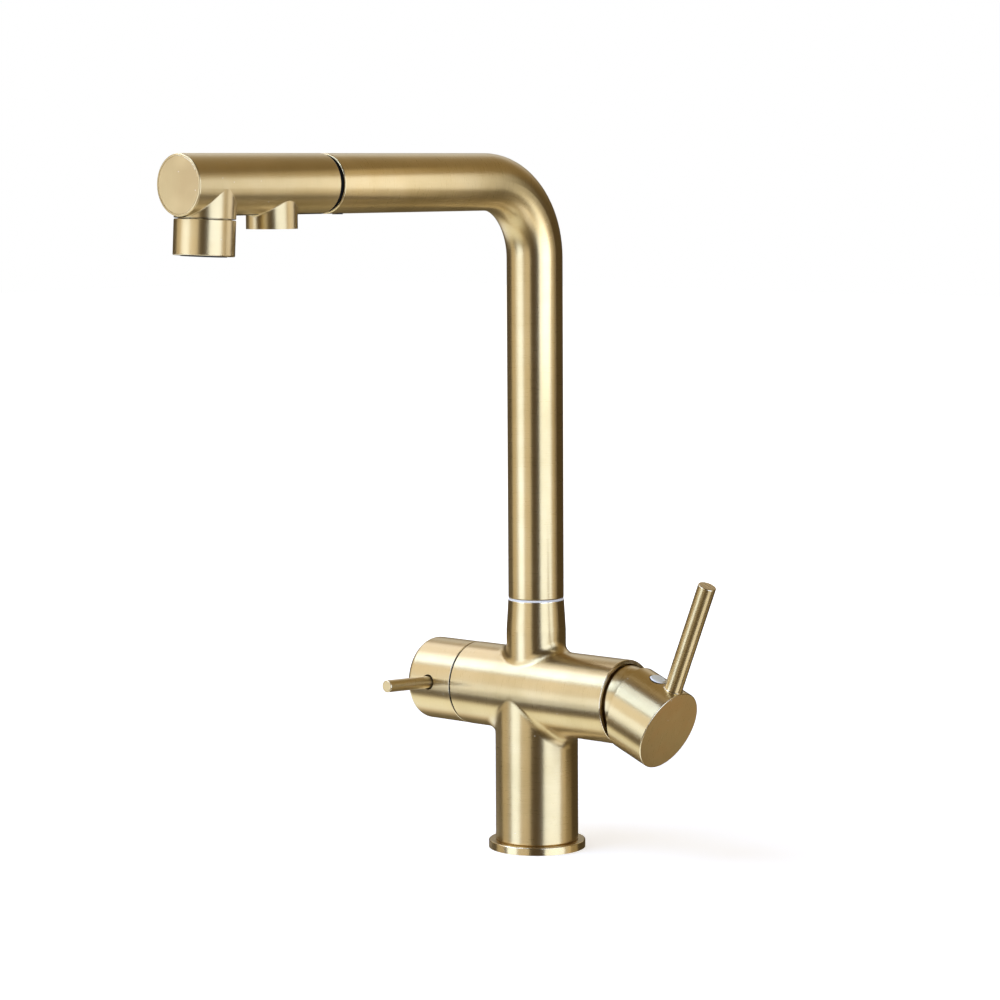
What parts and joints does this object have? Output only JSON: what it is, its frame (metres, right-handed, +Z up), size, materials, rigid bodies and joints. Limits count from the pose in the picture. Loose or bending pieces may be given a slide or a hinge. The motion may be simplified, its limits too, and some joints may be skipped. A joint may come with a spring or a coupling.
{
  "type": "three way filtered water tap",
  "caption": "Kitchen tap with a swivelling L spout, one lever for mixed water, a small knob for filtered water and two separate outlets.",
  "frame": {"origin": "centre of the round base on the worktop, on the axis of the column", "axes": "+Z up along the column and the spout swivel, -Y forward along the spout, +X towards the mixer handle, -X towards the filter knob"},
  "size_m": [0.1842, 0.2663, 0.35],
  "materials": {
    "brushed_gold": "brushed gold plating",
    "cast_brass": "brushed gold plating",
    "bare_brass": "machined",
    "steel": "plain",
    "black_steel": "black oxide",
    "rubber": "matt",
    "black_plastic": "matt",
    "white_plastic": "matt",
    "grey_plastic": "matt",
    "plug_plastic": "satin",
    "ceramic": "polished ceramic",
    "line_plastic": "smooth"
  },
  "bodies": {
    "body": {"body_casting": "cast_brass", "base_flange": "brushed_gold", "base_gasket": "rubber", "swivel_ring": "white_plastic", "spout_retaining_screw": "steel", "cartridge_housing": "grey_plastic", "cartridge_seals": "rubber", "fixed_ceramic_disc": "ceramic", "cartridge_nut": "bare_brass", "cartridge_shroud": "brushed_gold", "filter_valve_body": "bare_brass", "filter_valve_seal": "rubber", "filter_fixed_disc": "ceramic"},
    "rotor": {"cartridge_rotor": "white_plastic", "stem_pin": "steel"},
    "disc": {"moving_ceramic_disc": "ceramic", "disc_slider": "grey_plastic"},
    "handle": {"cartridge_stem": "bare_brass", "handle_cap": "brushed_gold", "handle_lever": "brushed_gold", "index_plug": "plug_plastic", "handle_grub_screw": "black_steel"},
    "knob": {"filter_knob": "brushed_gold", "filter_lever": "brushed_gold", "filter_spindle": "steel", "filter_moving_disc": "ceramic", "spindle_o_ring": "rubber", "knob_grub_screw": "black_steel"},
    "spout": {"spout_tube": "brushed_gold", "spout_spigot": "bare_brass", "spout_o_rings": "rubber", "filter_line": "line_plastic", "filter_line_seal": "rubber", "head_adapter": "bare_brass", "head_o_ring": "rubber", "head_spacer_ring": "black_plastic", "head_grub_screw": "black_steel", "outlet_head": "brushed_gold", "head_end_cap": "brushed_gold", "aerator_collar": "brushed_gold", "aerator_insert": "black_plastic", "aerator_washer": "rubber", "filter_outlet_insert": "grey_plastic"}
  },
  "joints": [
    {"name": "spout_swivel", "type": "hinge", "parent": "body", "child": "spout", "pos_m": [0, 0, 0.1264], "axis": [0, 0, 1], "range_deg": [-180, 180]},
    {"name": "mixer_temperature", "type": "hinge", "parent": "body", "child": "rotor", "pos_m": [0.0575, 0, 0.08], "axis": [1, 0, 0], "range_deg": [-52, 48]},
    {"name": "mixer_flow", "type": "hinge", "parent": "rotor", "child": "handle", "pos_m": [0.0575, 0, 0.08], "axis": [0, 0.9994, 0.0349], "range_deg": [-22.8, 0]},
    {"name": "disc_slide", "type": "slide", "parent": "rotor", "child": "disc", "axis": [0, -0.0349, 0.9994], "range_m": [-0.00555, 0]},
    {"name": "filter_valve", "type": "hinge", "parent": "body", "child": "knob", "pos_m": [-0.0554, 0, 0.08], "axis": [1, 0, 0], "range_deg": [-87, 3]}
  ],
  "couplings": [
    {"joint": "disc_slide", "follows": "mixer_flow", "m_per_rad": 0.013926}
  ]
}
